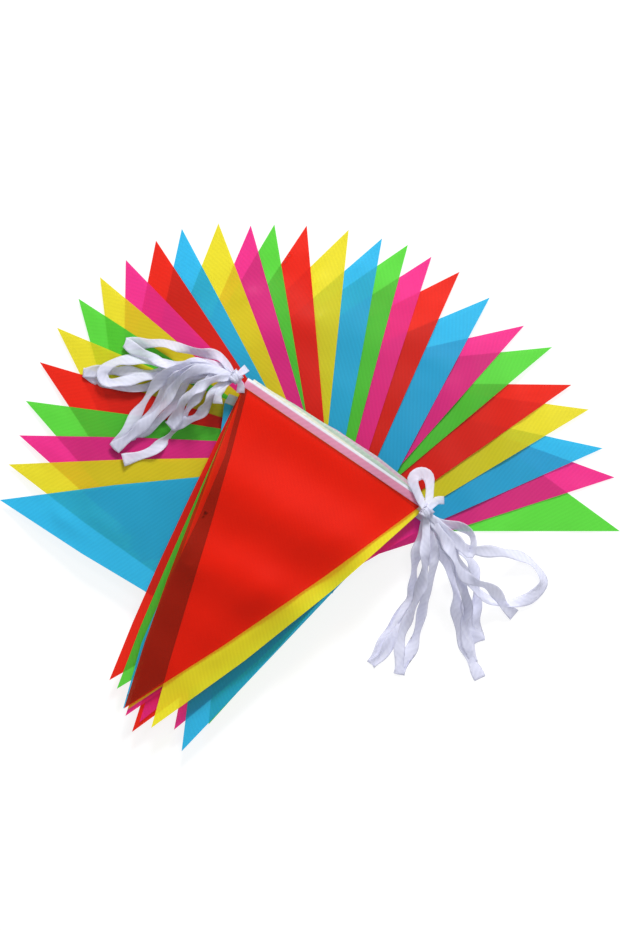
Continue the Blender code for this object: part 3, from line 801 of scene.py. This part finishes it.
# a flat strand through the rings, cupped a little across and closed all round
def addBand(bm, rings, seed):
    uv = bm.loops.layers.uv.verify()
    count = strandSettings["across"]
    half = strandSettings["thickness"] / 2
    chance = random.Random(seed)
    phase = chance.uniform(0, 6)
    loops, runs, walked = [], [], 0
    for n, (centre, side, up, width) in enumerate(rings):
        if n:
            walked += (centre - rings[n - 1][0]).length
        runs.append(walked)
        cup = strandSettings["curl"] * sin(walked / strandSettings["curlLength"] + phase)
        wrinkle = walked / strandSettings["crumpleLength"] + phase
        loop = []
        for layer in (1, -1):
            for k in range(count + 1):
                a = (2 * k / count - 1) * layer
                crumple = strandSettings["crumple"] * sin(wrinkle + strandSettings["crumpleLean"] * a)
                rise = cup * (1 - a * a) + crumple + layer * half
                loop.append(bm.verts.new(centre + side * (a * width / 2) + up * rise))
        loops.append(loop)
    size = 2 * (count + 1)
    for n, (one, two) in enumerate(zip(loops, loops[1:])):
        for k in range(size):
            face = bm.faces.new((one[k], two[k], two[(k + 1) % size], one[(k + 1) % size]))
            face.smooth = True
            for loop in face.loops:
                m = n + (loop.vert in two)
                loop[uv].uv = (runs[m], (loop.vert.co - rings[m][0]).dot(rings[m][1]))
    for loop in (loops[0], loops[-1]):
        bm.faces.new(loop)


# one strand as rings: an end lies free, a ring comes round, and a fold doubles back on itself
def strandRings(strand, knot, root, phase, tops, own):
    kind, arch, out, back, turns = strand
    points = [knot] + [Vector(p) * 0.001 for p in out]
    step, apart, foldGap = strandSettings["step"], strandSettings["rootGap"], strandSettings["foldGap"]
    if kind == "end":
        path = smoothPath(points, step)
        rolls, lifts = rollsAlong(path, turns, phase, knot)
        heights = settled(path, lifts, knot, root, None, tops, own)
        noteCover(path, heights, lifts, knot, own, None)
        return ringsAlong(path, heights, rolls, arch, knot, 1)
    if kind == "ring":
        whole = smoothPath(points + [knot], step)
        far = max(range(len(whole)), key=lambda i: (whole[i] - knot).length)
        wayOut, wayBack = whole[:far + 1], whole[far:]
        rolls, lifts = rollsAlong(whole, turns, phase, knot)
        low = settled(wayOut, lifts[:far + 1], knot, root - apart, None, tops, own)
        noteCover(wayOut, low, lifts[:far + 1], knot, own, wayOut[-1])
        high = settled(wayBack[::-1], lifts[far:][::-1], knot, root + apart, low[-1], tops, own)[::-1]
        noteCover(wayBack, high, lifts[far:], knot, own, None)
        return ringsAlong(whole, low + high[1:], rolls, arch, knot, 1)
    wayOut = smoothPath(points, step)
    wayBack = smoothPath([wayOut[-1]] + [Vector(p) * 0.001 for p in back] + [knot], step)
    rollsOut, liftsOut = rollsAlong(wayOut, turns, phase, knot)
    rollsBack, liftsBack = rollsAlong(wayBack, turns, phase, knot)
    low = settled(wayOut, liftsOut, knot, root - apart, None, tops, own)
    noteCover(wayOut, low, liftsOut, knot, own, None)
    meeting = low[-1] + foldGap
    high = settled(wayBack[::-1], liftsBack[::-1], knot, root + apart, meeting, tops, own)[::-1]
    noteCover(wayBack, high, liftsBack, knot, own, None)
    lower = ringsAlong(wayOut, low, rollsOut, 0, knot, 1)
    upper = ringsAlong(wayBack, high, rollsBack, arch, knot, -1)
    return lower + hairpin(lower[-1], upper[0]) + upper


def layLoops(settings, tops, under):
    knot = Vector(settings["knot"]) * 0.001
    half = settings["knotHalf"]
    near = cellsNear(knot, half[0])
    level = max(max(carpet[c], under.get(c, 0)) for c in near) + half[2] * knotSettings["sit"]
    for cell in near:
        tops[cell] = max(tops.get(cell, 0), level + half[2] * knotSettings["top"])
    bm = bmesh.new()
    bm.loops.layers.uv.new("cloth")
    chance = random.Random(settings["seed"])
    total = 0
    for number, strand in enumerate(settings["strands"]):
        own = {}
        root = level + strandSettings["rootSpread"] * sin(strandSettings["rootTurn"] * number)
        phase = chance.uniform(-strandSettings["rollStart"], strandSettings["rollStart"])
        rings = strandRings(strand, knot, root, phase, tops, own)
        addBand(bm, rings, settings["seed"] * 100 + number)
        total += sum((b[0] - a[0]).length for a, b in zip(rings, rings[1:]))
        for cell, top in own.items():
            tops[cell] = max(tops.get(cell, 0), top)
    for vert in bm.verts:
        vert.co.z = max(vert.co.z, strandSettings["lowest"])
    total += addKnot(bm, Vector((knot.x, knot.y, level)), half, settings["seed"])
    return bm, total


# turns of tape wound round a small filling
def addKnot(bm, centre, half, seed):
    core = bmesh.ops.create_icosphere(bm, subdivisions=3, radius=1)
    first, second = knotSettings["ripples"]
    for vert in core["verts"]:
        wave = sin(first * vert.co.x + seed) * sin(second * vert.co.y)
        size = knotSettings["fill"] + knotSettings["ripple"] * wave
        vert.co = centre + Vector([c * h for c, h in zip(vert.co, half)]) * size
        for face in vert.link_faces:
            face.smooth = True
    length = 0
    steps = knotSettings["steps"]
    for turn, (offset, lean) in enumerate(knotSettings["turns"]):
        heading = lean + knotSettings["heading"]
        axis = Vector((cos(heading), sin(heading), 0))
        across = Vector((-axis.y, axis.x, 0))
        reach = sqrt(1 - offset * offset)
        rings = []
        for k in range(steps + 1):
            angle = 2 * pi * k / steps + knotSettings["start"]
            drift = (offset + knotSettings["drift"] * k / steps) * half[0]
            out = across * cos(angle) + Vector((0, 0, 1)) * sin(angle)
            spot = centre + axis * drift + across * cos(angle) * half[1] * reach
            spot += Vector((0, 0, sin(angle) * half[2] * reach)) + out * knotSettings["stand"] * (1 + turn)
            rings.append((spot, axis, out, knotSettings["tapeWidth"]))
        addBand(bm, rings, seed + turn)
        length += 2 * pi * half[1]
    return length


def finishLoops(bm, name, *nodes):
    bmesh.ops.recalc_face_normals(bm, faces=bm.faces)
    piece = pieceFrom(bm, name, finishes["white"])
    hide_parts(*nodes)
    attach(piece, "root")
    return piece


for side, loops, tie in [("Left", loopsLeft, tieLeft), ("Right", loopsRight, tieRight)]:
    tops = {}
    bm, total = layLoops(loops, tops, {})
    bunch = finishLoops(bm, "tapeLoops" + side, "tape_loops_" + side.lower())
    bm, tieTotal = layLoops(tie, dict(tops), tops)
    knotted = finishLoops(bm, "tie" + side, "tie_" + side.lower())
    print("loops", side, round(total, 2), "m of tape, tie", round(tieTotal, 2), "m")
